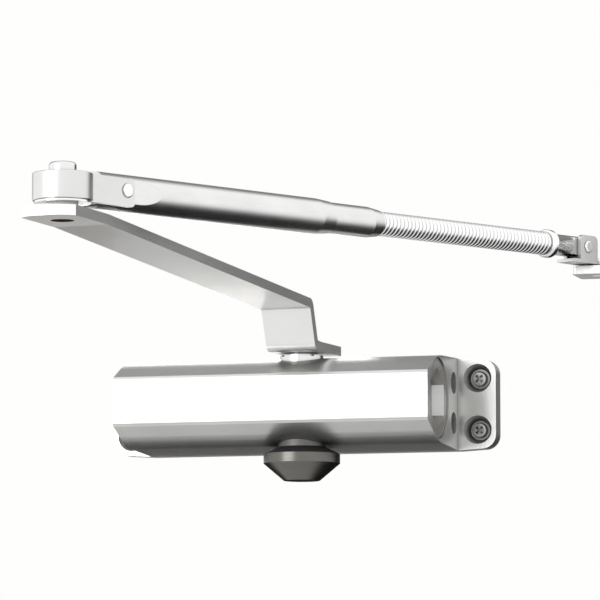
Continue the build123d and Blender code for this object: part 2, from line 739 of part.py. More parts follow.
def elbow_knuckle():
    """Knuckle round the elbow pin, with two legs that hold the forearm."""
    half = tube_flat_width / 2 + side_gap
    outer = half + strap_thickness
    drum = Pos(0, 0, knuckle_bottom) * Cylinder(knuckle_radius, knuckle_height, align=level)
    drum = fillet(drum.edges().filter_by(GeomType.CIRCLE), 0.5)
    legs = block(0, strap_length, -outer, outer, knuckle_bottom, knuckle_top)
    ends = legs.edges().filter_by(Axis.Y).group_by(Axis.X)[-1]
    legs = fillet(ends, 2.0)
    gap = block(tube_start - 2.2, strap_length + 1, -half, half, knuckle_bottom - 1, knuckle_top + 1)
    knuckle = elbow_frame * (drum + legs - gap)
    bush = elbow_pin_radius + running_gap + elbow_bush_wall
    knuckle -= upright(elbow.X, elbow.Y, knuckle_bottom - 1, knuckle_top + 1, bush + fit_gap)
    rivet_hole = crosswise(forearm_frame, elbow_rivet_from_axis, 0, outer + 1, elbow_rivet_radius + fit_gap)
    return knuckle - rivet_hole


def forearm_tube():
    """Tube with a flattened end for the knuckle and a tapered mouth for the sleeve."""
    mouth = tube_end + tube_taper
    tube = along_forearm(tube_start, tube_end, tube_radius)
    tube += along_forearm_cone(tube_end, mouth, tube_radius, tube_mouth_radius)
    for side in (-1, 1):
        inner, outer = sorted((side * tube_flat_width / 2, side * (tube_radius + 2)))
        flat = block(tube_start - 1, tube_flat_end, inner, outer, -tube_radius - 1, tube_radius + 1)
        run = Pos(tube_flat_end, side * (tube_flat_width / 2 + flat_run_radius), 0)
        flat += run * Cylinder(flat_run_radius, 2 * tube_radius + 2)
        tube -= forearm_frame * flat
    tube -= along_forearm(tube_bore_start, mouth + 1, tube_bore_radius)
    tube -= along_forearm(tube_end + tube_taper - sleeve_depth, mouth + 1, sleeve_radius + fit_gap)
    hole_radius = elbow_rivet_radius + running_gap
    return tube - crosswise(forearm_frame, elbow_rivet_from_axis, 0, tube_radius, hole_radius)


def adjuster_sleeve():
    """Threaded sleeve in the tube's mouth, chamfered round the rod."""
    mouth = tube_end + tube_taper
    nose = mouth + sleeve_reach
    sleeve = along_forearm(mouth - sleeve_depth, nose - sleeve_chamfer_length, sleeve_radius)
    sleeve += along_forearm_cone(nose - sleeve_chamfer_length, nose, sleeve_radius, sleeve_nose_radius)
    return sleeve - along_forearm(mouth - sleeve_depth - 1, nose + 1, thread_radius + running_gap)


def threaded_rod():
    """Adjusting rod: threaded length, plain neck and flat tongue."""
    neck_end = shoe_rivet_at - tongue_length
    rod = along_forearm(thread_start, collar_start, thread_radius)
    rod += along_forearm(collar_start, shoe_rivet_at, rod_radius)
    rod += crosswise(forearm_frame, shoe_rivet_at, 0, rod_radius, rod_radius)
    for side in (-1, 1):
        inner, outer = sorted((side * tongue_thickness / 2, side * (rod_radius + 2)))
        tongue_end = shoe_rivet_at + rod_radius + 1
        flat = block(neck_end, tongue_end, inner, outer, -rod_radius - 1, rod_radius + 1)
        run = Pos(neck_end, side * (tongue_thickness / 2 + rod_radius), 0)
        flat += run * Cylinder(rod_radius, 2 * rod_radius + 2)
        rod -= forearm_frame * flat
    return rod - crosswise(forearm_frame, shoe_rivet_at, 0, rod_radius + 1, shoe_rivet_radius + running_gap)


def rod_collar():
    """Round stop collar at the end of the thread."""
    collar = along_forearm(collar_start, collar_start + collar_length, collar_radius)
    collar = fillet(collar.edges().filter_by(GeomType.CIRCLE), 1.2)
    return collar - along_forearm(collar_start - 1, collar_start + collar_length + 1, rod_radius + fit_gap)


def shoe_clevis():
    """Bent clevis: two legs beside the tongue on a base that turns on the pivot."""
    inner = tongue_thickness / 2 + side_gap
    outer = inner + leg_thickness
    low = -base_drop - base_thickness
    legs = block(-leg_front, leg_back, -outer, outer, low, leg_top)
    corners = legs.edges().filter_by(Axis.Y).group_by(Axis.X)[0].group_by(Axis.Z)[-1]
    corners += legs.edges().filter_by(Axis.Y).group_by(Axis.X)[-1].group_by(Axis.Z)[-1]
    legs = fillet(corners, leg_corner_radius)
    legs -= block(-leg_front - 1, leg_back + 1, -inner, inner, -base_drop, leg_top + 1)
    base = block(-base_front, pivot_from_rivet, -outer, outer, low, -base_drop)
    base += Pos(pivot_from_rivet, 0, low) * Cylinder(base_round_radius, base_thickness, align=level)
    clevis = clevis_frame * (legs + base)
    clevis -= crosswise(clevis_frame, 0, 0, outer + 1, shoe_rivet_radius + fit_gap)
    return clevis - upright(pivot.X, pivot.Y, base_bottom - 1, shoe_rivet.Z, pivot_radius + running_gap)


def pivot_pin():
    """Headed pin riveted into the frame bracket."""
    head_low = shoe_rivet.Z - base_drop + face_gap
    pin = upright(pivot.X, pivot.Y, head_low, head_low + pivot_head_height, pivot_head_radius)
    pin = fillet(pin.edges().group_by(Axis.Z)[-1], 0.8)
    return pin + upright(pivot.X, pivot.Y, leaf_bottom, head_low, pivot_radius)


def frame_bracket():
    """Angle bracket: a leaf under the clevis and a flange for the door frame."""
    leaf = block(pivot.X - bracket_left, pivot.X + bracket_right, pivot.Y - bracket_front,
                 pivot.Y + bracket_back, leaf_bottom, leaf_top)
    leaf = fillet(leaf.edges().filter_by(Axis.Z), bracket_corner_radius)
    wall = pivot.Y + bracket_back
    left, right = pivot.X + flange_start, pivot.X + bracket_right
    flange = block(left, right, wall - flange_thickness, wall, leaf_bottom, leaf_top + flange_height)
    flange = fillet(flange.edges().filter_by(Axis.Y).group_by(Axis.Z)[-1], 2 * bracket_corner_radius)
    bracket = leaf + flange
    for side in (-1, 1):
        x = (left + right) / 2 + side * bracket_hole_pitch / 2
        hole = Cylinder(bracket_hole_radius, flange_thickness + 2)
        bracket -= Pos(x, wall - flange_thickness / 2, leaf_top + flange_height / 2) * Rot(90, 0, 0) * hole
    return bracket - upright(pivot.X, pivot.Y, leaf_bottom - 1, leaf_top + 1, pivot_radius + fit_gap)


def build_body():
    """Pieces that stay with the door."""
    bearing_low, seal_low, lip_low = upper_stack()
    low = lower_bearing_low()
    rings = valve_rings()
    return {
        "housing": housing(),
        "end_plug_right": end_plug(1),
        "end_plug_left": end_plug(-1),
        "end_plug_seals": plug_rings(),
        "closing_speed_valve": speed_valve(1),
        "latching_speed_valve": speed_valve(-1),
        "closing_valve_seal": rings[1],
        "latching_valve_seal": rings[-1],
        "fixing_screws": fixing_screws(),
        "upper_bearing": shaft_ring(bearing_low + fit_gap, seal_low - fit_gap),
        "upper_shaft_seal": shaft_ring(seal_low, lip_low - fit_gap),
        "upper_gland": upper_gland(),
        "lower_bearing": shaft_ring(low, low + bearing_height),
        "lower_shaft_seal": shaft_ring(low - seal_height - fit_gap, low - fit_gap),
        "cap_gasket": cap_gasket(),
        "pinion_cap": pinion_cap(),
        "spring_seat": spring_seat(),
        "closing_spring": closing_spring(),
    }


def build_piston():
    """Pieces that slide in the bore."""
    seat, ball, cage = check_valve()
    return {
        "piston_rack": piston(),
        "piston_rings": piston_rings(),
        "check_valve_seat": seat,
        "check_valve_ball": ball,
        "check_valve_cage": cage,
    }


def build_arm():
    """Pieces that turn with the pinion."""
    x, y = pinion_axis
    bush_bore = elbow_pin_radius + fit_gap
    return {
        "pinion_shaft": pinion_shaft(),
        "main_arm": main_arm(),
        "arm_washer": upright(x, y, pad_top, pad_top + arm_washer_thickness, arm_washer_radius,
                              arm_screw_radius + 0.2),
        "arm_screw": arm_screw(),
        "elbow_pin": elbow_pin(),
        "elbow_spacer": upright(elbow.X, elbow.Y, eye_top, washer_bottom, elbow_spacer_radius, bush_bore),
        "elbow_washer": upright(elbow.X, elbow.Y, washer_bottom, washer_bottom + elbow_washer_thickness,
                                elbow_washer_radius, bush_bore),
    }


def build_forearm():
    """The knuckle, the forearm and the shoe."""
    bore = elbow_pin_radius + running_gap
    knuckle_grip = tube_flat_width / 2 + side_gap + strap_thickness + face_gap
    clevis_grip = tongue_thickness / 2 + side_gap + leg_thickness + face_gap
    washer_low = leaf_top + face_gap
    return {
        "elbow_knuckle": elbow_knuckle(),
        "elbow_bush": upright(elbow.X, elbow.Y, knuckle_bottom, knuckle_top, bore + elbow_bush_wall, bore),
        "elbow_rivet": domed_rivet(forearm_frame, elbow_rivet_from_axis, knuckle_grip,
                                   elbow_rivet_radius, elbow_rivet_head_radius),
        "forearm_tube": forearm_tube(),
        "adjuster_sleeve": adjuster_sleeve(),
        "threaded_rod": threaded_rod(),
        "rod_collar": rod_collar(),
        "shoe_clevis": shoe_clevis(),
        "shoe_rivet": domed_rivet(clevis_frame, 0, clevis_grip, shoe_rivet_radius, shoe_rivet_head_radius),
        "shoe_washer": upright(pivot.X, pivot.Y, washer_low, washer_low + shoe_washer_thickness,
                               shoe_washer_radius, pivot_radius + running_gap),
        "shoe_pivot_pin": pivot_pin(),
        "frame_bracket": frame_bracket(),
    }


def save(name, shape):
    """Write one node as a STEP file, with loose solids kept apart."""
    solids = []
    for item in (shape if isinstance(shape, list) else [shape]):
        solids.extend(item.solids())
    whole = solids[0] if len(solids) == 1 else Compound(children=solids)
    whole.label = name
    export_step(whole, f"parts/{name}.step")


os.makedirs("parts", exist_ok=True)
for group in (build_body(), build_piston(), build_arm(), build_forearm()):
    for node, shape in group.items():
        save(node, shape)
print("elbow", tuple(elbow), "knuckle", knuckle_bottom, knuckle_top, "stroke", stroke)
print("elbow rivet", elbow_rivet.X, elbow_rivet.Y, elbow_rivet_z, "forearm", tuple(forearm_axis))
print("shoe rivet", tuple(shoe_rivet), "pivot", tuple(pivot), "leaf", leaf_bottom, leaf_top)
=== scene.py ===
# %% [markdown]
# # A surface door closer
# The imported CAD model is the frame: a die-cast body with a rack and pinion inside, a bent bar
# arm and an adjustable forearm. This script gives each piece the finish of the real metal, adds
# the screw threads and the wound spring, and lights the scene as a product photograph is lit.

# %% Load the frame
import math
import bpy
import bmesh
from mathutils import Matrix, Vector


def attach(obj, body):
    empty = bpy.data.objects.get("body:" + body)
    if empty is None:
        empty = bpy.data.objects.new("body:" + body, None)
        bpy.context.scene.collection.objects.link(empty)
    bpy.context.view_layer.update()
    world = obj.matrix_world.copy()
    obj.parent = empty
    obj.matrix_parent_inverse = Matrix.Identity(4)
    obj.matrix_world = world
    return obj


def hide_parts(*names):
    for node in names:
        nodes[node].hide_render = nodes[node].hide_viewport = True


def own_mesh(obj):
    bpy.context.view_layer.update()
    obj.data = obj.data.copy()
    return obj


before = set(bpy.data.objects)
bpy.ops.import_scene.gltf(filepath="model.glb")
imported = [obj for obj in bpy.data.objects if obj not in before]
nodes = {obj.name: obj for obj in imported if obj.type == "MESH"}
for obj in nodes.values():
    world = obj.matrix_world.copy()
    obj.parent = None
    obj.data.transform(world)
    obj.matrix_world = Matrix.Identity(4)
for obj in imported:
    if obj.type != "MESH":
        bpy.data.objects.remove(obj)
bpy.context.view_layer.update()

# %% [markdown]
# The camera comes first, because everything else is judged through it. It could be placed by
# eye, but here its place and angles were fitted to the edges of the body, so that sizes can be
# compared with the photo. It stands low, to the right of the body, and looks up by six degrees.
# A long lens gives the photo's weak perspective.

# %% Camera
FRAME_PX = 600
SENSOR_MM = 36.0
FOCAL_PX = 4293.8
PRINCIPAL_PX = (301.5, 299.6)
YAW, PITCH = math.radians(15.88), math.radians(6.19)
CAMERA_PLACE = (0.5374, -1.9003, -0.1632)
FAR_LIMIT = 20.0


def new_object(name, data):
    """An object of the scene that holds a mesh, a lamp or a camera."""
    obj = bpy.data.objects.new(name, data)
    bpy.context.scene.collection.objects.link(obj)
    return obj


bpy.context.scene.view_settings.view_transform = "Standard"
camera_data = bpy.data.cameras.new("camera")
camera_data.sensor_width = SENSOR_MM
camera_data.lens = FOCAL_PX * SENSOR_MM / FRAME_PX
camera_data.shift_x = (FRAME_PX / 2 - PRINCIPAL_PX[0]) / FRAME_PX
camera_data.shift_y = (PRINCIPAL_PX[1] - FRAME_PX / 2) / FRAME_PX
camera_data.clip_end = FAR_LIMIT
camera = new_object("camera", camera_data)
camera.location = CAMERA_PLACE
look = Vector((-math.sin(YAW) * math.cos(PITCH), math.cos(YAW) * math.cos(PITCH), math.sin(PITCH)))
camera.rotation_euler = look.to_track_quat("-Z", "Y").to_euler()
bpy.context.scene.camera = camera
print("lens", round(camera_data.lens, 1), "mm")

# %% [markdown]
# Small helpers. Colours are written as the sRGB hex values that a paint chart uses, and one
# function turns them into the linear values that the shader wants. Sizes are written in
# millimetres, and one factor turns them into the scene's metres.

# %% Helpers for colours and nodes
MM = 0.001


def linear(hex_colour):
    """An sRGB hex colour as linear RGBA."""
    channels = [int(hex_colour[i:i + 2], 16) / 255 for i in (1, 3, 5)]
    return (*[c / 12.92 if c <= 0.04045 else ((c + 0.055) / 1.055) ** 2.4 for c in channels], 1.0)


def add(tree, kind, settings=None, **links):
    """Adds a node; settings are properties, links are sockets given a value or another socket.
    A socket goes by its name, with _ for a space, or by _ and its number."""
    node = tree.nodes.new(kind)
    for name, value in (settings or {}).items():
        setattr(node, name, value)
    for name, value in links.items():
        socket = node.inputs[int(name[1:]) if name[1:].isdigit() else name.replace("_", " ")]
        if isinstance(value, bpy.types.NodeSocket):
            tree.links.new(value, socket)
        else:
            socket.default_value = value
    return node


def blank_material(name):
    """A new material with a Principled shader, and both its tree and that shader."""
    material = bpy.data.materials.new(name)
    material.use_nodes = True
    tree = material.node_tree
    tree.nodes.clear()
    shader = add(tree, "ShaderNodeBsdfPrincipled")
    add(tree, "ShaderNodeOutputMaterial", Surface=shader.outputs[0])
    return material, tree, shader


# %% [markdown]
# A real metal surface is never one colour. It could be given one flat value, but then it looks
# like plastic. Every metal here starts from three facts: its colour, its roughness, and the
# marks that the last process left, with their spacing in millimetres. Marks run along one
# direction on a brushed bar, round the axis on a turned cap, and nowhere in particular on a
# sprayed or plated surface. Wide clouds change the tone from place to place. Closed corners
# get painted shade: ambient occlusion, which measures how closed in a point is, darkens the
# colour there.

# %% How a metal is made
CLOUD_MM = 25.0
RELIEF_MM = 0.1
FULLEST_POLISH = 0.02
CLOSED, OPEN = 0.15, 0.85


def metal(name, colour, deep, roughness, mark_mm=(1.0, 1.0, 1.0), bump=0.05, metallic=1.0,
          turn=(0.0, 0.0, 0.0), variation=0.5, spread=0.06, shade=0.0, reach_mm=4.0):
    """A metal with marks of a size in mm along its own X, Y and Z, after a turn in radians. The
    shade is how far closed corners are darkened with painted shade, as far from their walls as the reach
    in mm."""
    material, tree, shader = blank_material(name)
    place = add(tree, "ShaderNodeTexCoord").outputs["Object"]
    turned = add(tree, "ShaderNodeMapping", {"vector_type": "TEXTURE"}, Vector=place, Rotation=turn)
    scale = tuple(1 / (m * MM) for m in mark_mm)
    sized = add(tree, "ShaderNodeMapping", Vector=turned.outputs[0], Scale=scale)
    marks = add(tree, "ShaderNodeTexNoise", Vector=sized.outputs[0], Scale=1.0, Detail=4.0,
                Roughness=0.6).outputs[0]
    clouds = add(tree, "ShaderNodeTexNoise", Vector=place, Scale=1 / (CLOUD_MM * MM), Detail=3.0,
                 Roughness=0.55).outputs[0]
    tone = add(tree, "ShaderNodeMath", {"operation": "MULTIPLY_ADD"}, _0=marks, _1=variation, _2=clouds)
    share = add(tree, "ShaderNodeMapRange", Value=tone.outputs[0], From_Min=0.35, From_Max=1.15)
    surface = add(tree, "ShaderNodeMix", {"data_type": "RGBA"}, _0=share.outputs[0],
                  _6=linear(deep), _7=linear(colour)).outputs[2]
    if shade:
        # Painted shade: ambient occlusion darkens the colour in closed corners.
        corner = add(tree, "ShaderNodeAmbientOcclusion", {"samples": 8}, Distance=reach_mm * MM)
        painted_corner_shade = add(tree, "ShaderNodeMapRange", Value=corner.outputs["AO"], From_Min=CLOSED,
                   From_Max=OPEN, To_Min=1 - shade)
        surface = add(tree, "ShaderNodeMix", {"data_type": "RGBA", "blend_type": "MULTIPLY"}, _0=1.0,
                      _6=surface, _7=painted_corner_shade.outputs[0]).outputs[2]
    gloss = add(tree, "ShaderNodeMapRange", Value=marks, From_Min=0.3, From_Max=0.7,
                To_Min=roughness + spread, To_Max=max(FULLEST_POLISH, roughness - spread))
    relief = add(tree, "ShaderNodeBump", Strength=bump, Distance=RELIEF_MM * MM, Height=marks)
    tree.links.new(surface, shader.inputs["Base Color"])
    tree.links.new(gloss.outputs[0], shader.inputs["Roughness"])
    tree.links.new(relief.outputs[0], shader.inputs["Normal"])
    shader.inputs["Metallic"].default_value = metallic
    return material


# %% [markdown]
# The body is an aluminium die casting, sprayed with silver lacquer. The lacquer's metal flakes
# give the eye a soft gloss with a faint grain. The plugs have the same lacquer over turned
# steel, a little darker. The wall of the boss under the body is coloured dark grey and matt, as painted
# shade.

# %% Cast and lacquered surfaces
sprayed_silver = metal("sprayed_silver_lacquer_on_die_casting", "#C5C5C3", "#BABAB8", 0.32,
                       mark_mm=(0.35, 0.35, 0.35), bump=0.12, metallic=0.92, variation=0.35,
                       shade=0.75)
painted_plug = metal("silver_lacquer_on_turned_steel", "#B3B2AF", "#A6A5A2", 0.34,
                     mark_mm=(0.4, 0.4, 0.4), shade=0.6)
# Painted shade: the wall of the boss under the body is coloured dark grey and matt.
boss_wall_painted_shade = metal("dark_grey_painted_shade_on_boss_wall", "#6C6B68", "#5E5D5A", 0.5, mark_mm=(0.4, 0.4, 0.4),
                     bump=0.1)
print("cast and lacquered:", sprayed_silver.name, painted_plug.name, boss_wall_painted_shade.name)

# %% [markdown]
# The arm, the fork and the clevis are pressed from flat steel and brushed along their length,
# which draws each highlight out across the marks. Real brush marks are a few hundredths of a
# millimetre wide. They are drawn 0.25 mm wide here, or they would not show. The forearm's tube
# is drawn and satin plated, so its marks are fainter and its long highlight is brighter.

# %% Brushed and drawn steel
ARM_TURN = (0.0, 0.0, math.radians(-95.2))
FOREARM_TURN = (0.0, 0.0, math.radians(64.5))

brushed_bar = metal("brushed_satin_steel_bar", "#E6E6E5", "#DBDBDA", 0.3, mark_mm=(14.0, 0.25, 0.25),
                    bump=0.06, turn=ARM_TURN, shade=0.8, spread=0.03)
brushed_fork = metal("brushed_steel_fork", "#CACAC9", "#BDBDBC", 0.3, mark_mm=(14.0, 0.25, 0.25),
                     bump=0.06, turn=FOREARM_TURN, shade=0.8, spread=0.03)
satin_tube = metal("satin_plated_steel_tube", "#CFCFCE", "#C2C2C1", 0.24, mark_mm=(9.0, 0.4, 0.4),
                   bump=0.03, turn=FOREARM_TURN, shade=0.5, spread=0.03)
print("brushed and drawn:", brushed_bar.name, brushed_fork.name, satin_tube.name)

# %% [markdown]
# Zinc plating is white and almost as sharp as a mirror. Rolling presses a thread smooth, so the
# rod is the brightest of the three, with painted shade in its roots. The plating of the fixing
# screws has gone dull, and their recesses get strong painted shade. The cap is coloured dark grey
# over the fine rings of turning, as painted shade, and the valves have a warm nickel plating over brass.

# %% Plated steel and brass
bright_zinc = metal("bright_zinc_plated_steel", "#DEDEDE", "#D0D0D0", 0.16, mark_mm=(0.8, 0.8, 0.8),
                    bump=0.02, shade=0.7, reach_mm=3.0)
# Painted shade: ambient occlusion darkens the roots of the thread.
rolled_zinc = metal("rolled_zinc_plated_thread", "#E2E2E2", "#D4D4D4", 0.14, mark_mm=(0.8, 0.8, 0.8),
                    bump=0.02, shade=0.75, reach_mm=1.2)
# Painted shade: strong ambient-occlusion darkening in and around the screws' recesses.
dull_zinc = metal("dull_zinc_plated_steel", "#A5A5A3", "#929290", 0.26, mark_mm=(0.6, 0.6, 0.6),
                  shade=0.95, reach_mm=1.6)
# Painted shade: the cap is coloured dark grey for the little light that reaches it low under the body.
cap_painted_shade = metal("turned_steel_painted_dark_for_shade", "#666561", "#585753", 0.3,
                      mark_mm=(12.0, 12.0, 0.2), bump=0.04)
plated_brass = metal("nickel_plated_brass", "#8E8D88", "#7B7A75", 0.24, mark_mm=(0.2, 8.0, 8.0),
                     bump=0.05)
print("plated:", bright_zinc.name, rolled_zinc.name, dull_zinc.name, cap_painted_shade.name,
      plated_brass.name)

# %% [markdown]
# The rest is bare. Ground and turned steel are bright, with fine rings round their axis, and
# grinding leaves the finer surface. The front and back flats of the plugs' sockets are coloured
# almost white and made less metallic than the rest, as a painted reflection of the bright front.
# Oil-blackened spring wire is nearly black with a low shine, and machined iron is dark grey and dull.

# %% Bare steel and iron
ground_steel = metal("ground_bearing_steel", "#D2D2D2", "#C2C2C2", 0.15, mark_mm=(10.0, 10.0, 0.2),
                     bump=0.02, shade=0.6, reach_mm=3.0)
turned_steel = metal("turned_bright_steel", "#CFCFCE", "#C2C2C1", 0.2, mark_mm=(12.0, 12.0, 0.2),
                     bump=0.03, shade=0.6, reach_mm=2.5)
# Painted reflection: the socket flats are coloured almost white and scatter light widely.
socket_painted_reflection = metal("pale_painted_reflection_on_socket_flats", "#F4F4F4", "#E8E8E8", 0.4, mark_mm=(12.0, 0.3, 0.3),
                       bump=0.04, metallic=0.3)
spring_steel = metal("oil_blackened_spring_steel", "#4A4948", "#333231", 0.35, mark_mm=(0.6, 0.6, 0.6))
machined_iron = metal("machined_cast_iron", "#7B7A78", "#686765", 0.38, mark_mm=(0.2, 8.0, 8.0),
                      bump=0.1)
print("bare:", ground_steel.name, turned_steel.name, socket_painted_reflection.name, spring_steel.name,
      machined_iron.name)

# %% [markdown]
# Four materials are not metal. Nitrile rubber is black and scatters light widely, the bore of
# the elbow's pin gets a blacker painted shadow that shines softly, and nylon is milky white. The
# piston's rings are filled PTFE, a bronze-brown plastic. All four have a fine grain, which
# breaks up the colour a little and gives a faint relief.

# %% Rubber, plastics and grease
GRAIN_DEPTH_MM = 0.05
GRAIN_SHADE = 0.25


def moulded(name, colour, roughness, grain_mm, bump):
    """A moulded polymer, or a black painted shadow, with a fine grain."""
    material, tree, shader = blank_material(name)
    place = add(tree, "ShaderNodeTexCoord").outputs["Object"]
    grain = add(tree, "ShaderNodeTexNoise", Vector=place, Scale=1 / (grain_mm * MM), Detail=3.0)
    tone = add(tree, "ShaderNodeMix", {"data_type": "RGBA", "blend_type": "MULTIPLY"}, _0=GRAIN_SHADE,
               _6=linear(colour), _7=grain.outputs[0])
    relief = add(tree, "ShaderNodeBump", Strength=bump, Distance=GRAIN_DEPTH_MM * MM,
                 Height=grain.outputs[0])
    tree.links.new(tone.outputs[2], shader.inputs["Base Color"])
    tree.links.new(relief.outputs[0], shader.inputs["Normal"])
    shader.inputs["Roughness"].default_value = roughness
    return material


nitrile = moulded("black_nitrile_rubber", "#161616", 0.62, 0.4, 0.2)
# Painted shadow: the bore of the arm's eye and the pin's lower end are coloured black.
bore_painted_shadow = moulded("black_painted_shadow_in_the_pin_bore", "#0B0B0B", 0.5, 0.5, 0.1)
nylon = moulded("natural_nylon", "#E9E8E2", 0.42, 0.6, 0.08)
filled_ptfe = moulded("bronze_filled_ptfe", "#8A7556", 0.5, 0.3, 0.1)
print("not metal:", nitrile.name, bore_painted_shadow.name, nylon.name, filled_ptfe.name)

# %% [markdown]
# Each CAD node keeps its shape and gets one of these finishes. Faces that meet at a shallow
# angle are shaded as one smooth surface, so that a round piece looks round, and the real edges
# stay sharp.

# %% Give each CAD node its finish
SHARP_ANGLE = math.radians(28)
FINISHES = {
    sprayed_silver: ["housing", "frame_bracket"],
    brushed_bar: ["main_arm"],
    brushed_fork: ["elbow_knuckle", "shoe_clevis"],
    satin_tube: ["forearm_tube", "adjuster_sleeve"],
    painted_plug: ["end_plug_right", "end_plug_left"],
    dull_zinc: ["fixing_screws"],
    rolled_zinc: ["threaded_rod"],
    bright_zinc: ["arm_screw", "arm_washer", "elbow_washer", "rod_collar", "shoe_washer",
                  "spring_seat", "elbow_rivet", "shoe_rivet", "shoe_pivot_pin"],
    cap_painted_shade: ["pinion_cap"],
    turned_steel: ["upper_gland"],
    ground_steel: ["pinion_shaft", "upper_bearing", "lower_bearing", "check_valve_ball", "elbow_pin"],
    spring_steel: ["closing_spring"],
    machined_iron: ["piston_rack"],
    plated_brass: ["closing_speed_valve", "latching_speed_valve", "check_valve_seat",
                   "check_valve_cage"],
    nitrile: ["end_plug_seals", "upper_shaft_seal", "lower_shaft_seal", "cap_gasket",
              "closing_valve_seal", "latching_valve_seal"],
    nylon: ["elbow_spacer", "elbow_bush"],
    filled_ptfe: ["piston_rings"],
}


def dress(obj, material, sharp=SHARP_ANGLE):
    """One material over the whole piece, smooth where its faces meet at a shallow angle."""
    obj.data.materials.clear()
    obj.data.materials.append(material)
    obj.data.shade_smooth()
    obj.data.set_sharp_from_angle(angle=sharp)


for material, names in FINISHES.items():
    for name in names:
        dress(nodes[name], material)
bare = sorted(set(nodes) - {n for names in FINISHES.values() for n in names})
print("nodes without a finish:", bare)

# %% [markdown]
# Some places have a finish of their own. The front and back flats of a plug's hexagon socket
# are coloured pale as a painted reflection. The wall of the low boss round the lower shaft is
# coloured dark grey as painted shade. The bore in the arm's eye is coloured black as a painted
# shadow, and so is the underside of the pin in it. These could be pieces of their own, but a
# second material on the same mesh leaves the shape alone: each face is picked by where it lies
# and which way it faces.

# %% Places with a finish of their own
PLUG_AXIS = (-44.0 * MM, 0.0)
SOCKET_REACH, PLUG_INNER_END = 12.6 * MM, 60.0 * MM
PINION_AXIS = (8.2 * MM, -39.5 * MM)
BOSS_TOP, BOSS_REACH = -14.0 * MM, 10.9 * MM
ELBOW_AXIS = (-14.44 * MM, -305.94 * MM)
PIN_REACH, PIN_END = 6.6 * MM, 53.5 * MM
STRAIGHT, LEANING = 0.9, 0.5


def from_axis(first, second, axis):
    """Distance from an axis, across it."""
    return math.hypot(first - axis[0], second - axis[1])


def socket_flat(at, facing):
    """The flats of a plug's socket that face forwards and backwards."""
    near = from_axis(at.y, at.z, PLUG_AXIS) < SOCKET_REACH and abs(at.x) > PLUG_INNER_END
    return near and abs(facing.y) > STRAIGHT


def boss_wall(at, facing):
    """The upright wall of the boss under the body."""
    near = from_axis(at.x, at.y, PINION_AXIS) < BOSS_REACH and at.z < BOSS_TOP
    return near and abs(facing.z) < LEANING


def eye_wall(at, facing):
    """The wall of the bore in the arm's eye."""
    near = from_axis(at.x, at.y, ELBOW_AXIS) < PIN_REACH and at.z < PIN_END
    return near and abs(facing.z) < LEANING


def pin_underside(at, facing):
    """The lower end of the elbow's pin."""
    near = from_axis(at.x, at.y, ELBOW_AXIS) < PIN_REACH and at.z < PIN_END
    return near and facing.z < -LEANING


# Painted light by face: a pale painted reflection on the socket flats, painted shade on the boss wall,
# and a black painted shadow in the eye's bore and under the pin.
OWN_FINISHES = [("end_plug_right", socket_painted_reflection, socket_flat),
                ("end_plug_left", socket_painted_reflection, socket_flat),
                ("housing", boss_wall_painted_shade, boss_wall),
                ("main_arm", bore_painted_shadow, eye_wall),
                ("elbow_pin", bore_painted_shadow, pin_underside)]
for name, material, chosen in OWN_FINISHES:
    mesh = nodes[name].data
    mesh.materials.append(material)
    for face in mesh.polygons:
        face.material_index = int(chosen(face.center, face.normal))
    print(name, "has", sum(face.material_index for face in mesh.polygons), "faces of", material.name)

# %% [markdown]
# The rod of the forearm has a coarse rolled thread with rounded crests, about 2.45 mm apart. The
# CAD solid is a plain cylinder there. A bump in the material would leave its outline straight,
# so the thread is real shape: its profile is swept round the rod's axis, and the neck and the
# tongue beyond it are cut from a copy of the CAD mesh.

# %% The forearm's axis and the sizes of the thread
FOREARM_BEARING, FOREARM_RISE = math.radians(25.5), math.radians(1.0)
along = Vector((math.sin(FOREARM_BEARING) * math.cos(FOREARM_RISE),
                math.cos(FOREARM_BEARING) * math.cos(FOREARM_RISE), math.sin(FOREARM_RISE)))
across = along.cross(Vector((0, 0, 1))).normalized()
above = across.cross(along)
ELBOW_RIVET = Vector((-2.04304, -279.95004, 65.08553)) * MM
RIVET_FROM_PIN_MM = 28.8
forearm_zero = ELBOW_RIVET - along * RIVET_FROM_PIN_MM * MM

THREAD_START, THREAD_END = 152.0 * MM, 307.7 * MM
THREAD_OVERRUN, NECK_OVERLAP = 0.4 * MM, 0.5 * MM
THREAD_CREST, THREAD_ROOT = 5.3 * MM, 4.5 * MM
THREAD_PITCH = 2.45 * MM
ROOT_SHARE, CROWN = 0.42, 0.06
RUN_OUT, FIRST_HEIGHT = 1.5 * MM, 0.6
THREAD_SHARP = math.radians(80)
ROUND_STEPS, PITCH_STEPS = 48, 16
print("thread turns:", round((THREAD_END - THREAD_START) / THREAD_PITCH, 1))


# %% Rings of points joined to a solid
def to_piece(name, mesh):
    """An object of the scene from a bmesh, which is used up."""
    data = bpy.data.meshes.new(name)
    mesh.to_mesh(data)
    mesh.free()
    return new_object(name, data)


def skin(name, rows, endless=False):
    """A solid from rows of rings: the rings of a row have as many points and are joined in order.
    A row is closed with a cap at both ends, or with its own first ring if it is endless."""
    mesh = bmesh.new()
    for rings in rows:
        placed = [[mesh.verts.new(point) for point in ring] for ring in rings]
        pairs = list(zip(placed, placed[1:])) + ([(placed[-1], placed[0])] if endless else [])
        for a, b in pairs:
            for k in range(len(a)):
                j = (k + 1) % len(a)
                mesh.faces.new((a[k], a[j], b[j], b[k]))
        if not endless:
            mesh.faces.new(placed[0])
            mesh.faces.new(list(reversed(placed[-1])))
    bmesh.ops.recalc_face_normals(mesh, faces=mesh.faces)
    return to_piece(name, mesh)


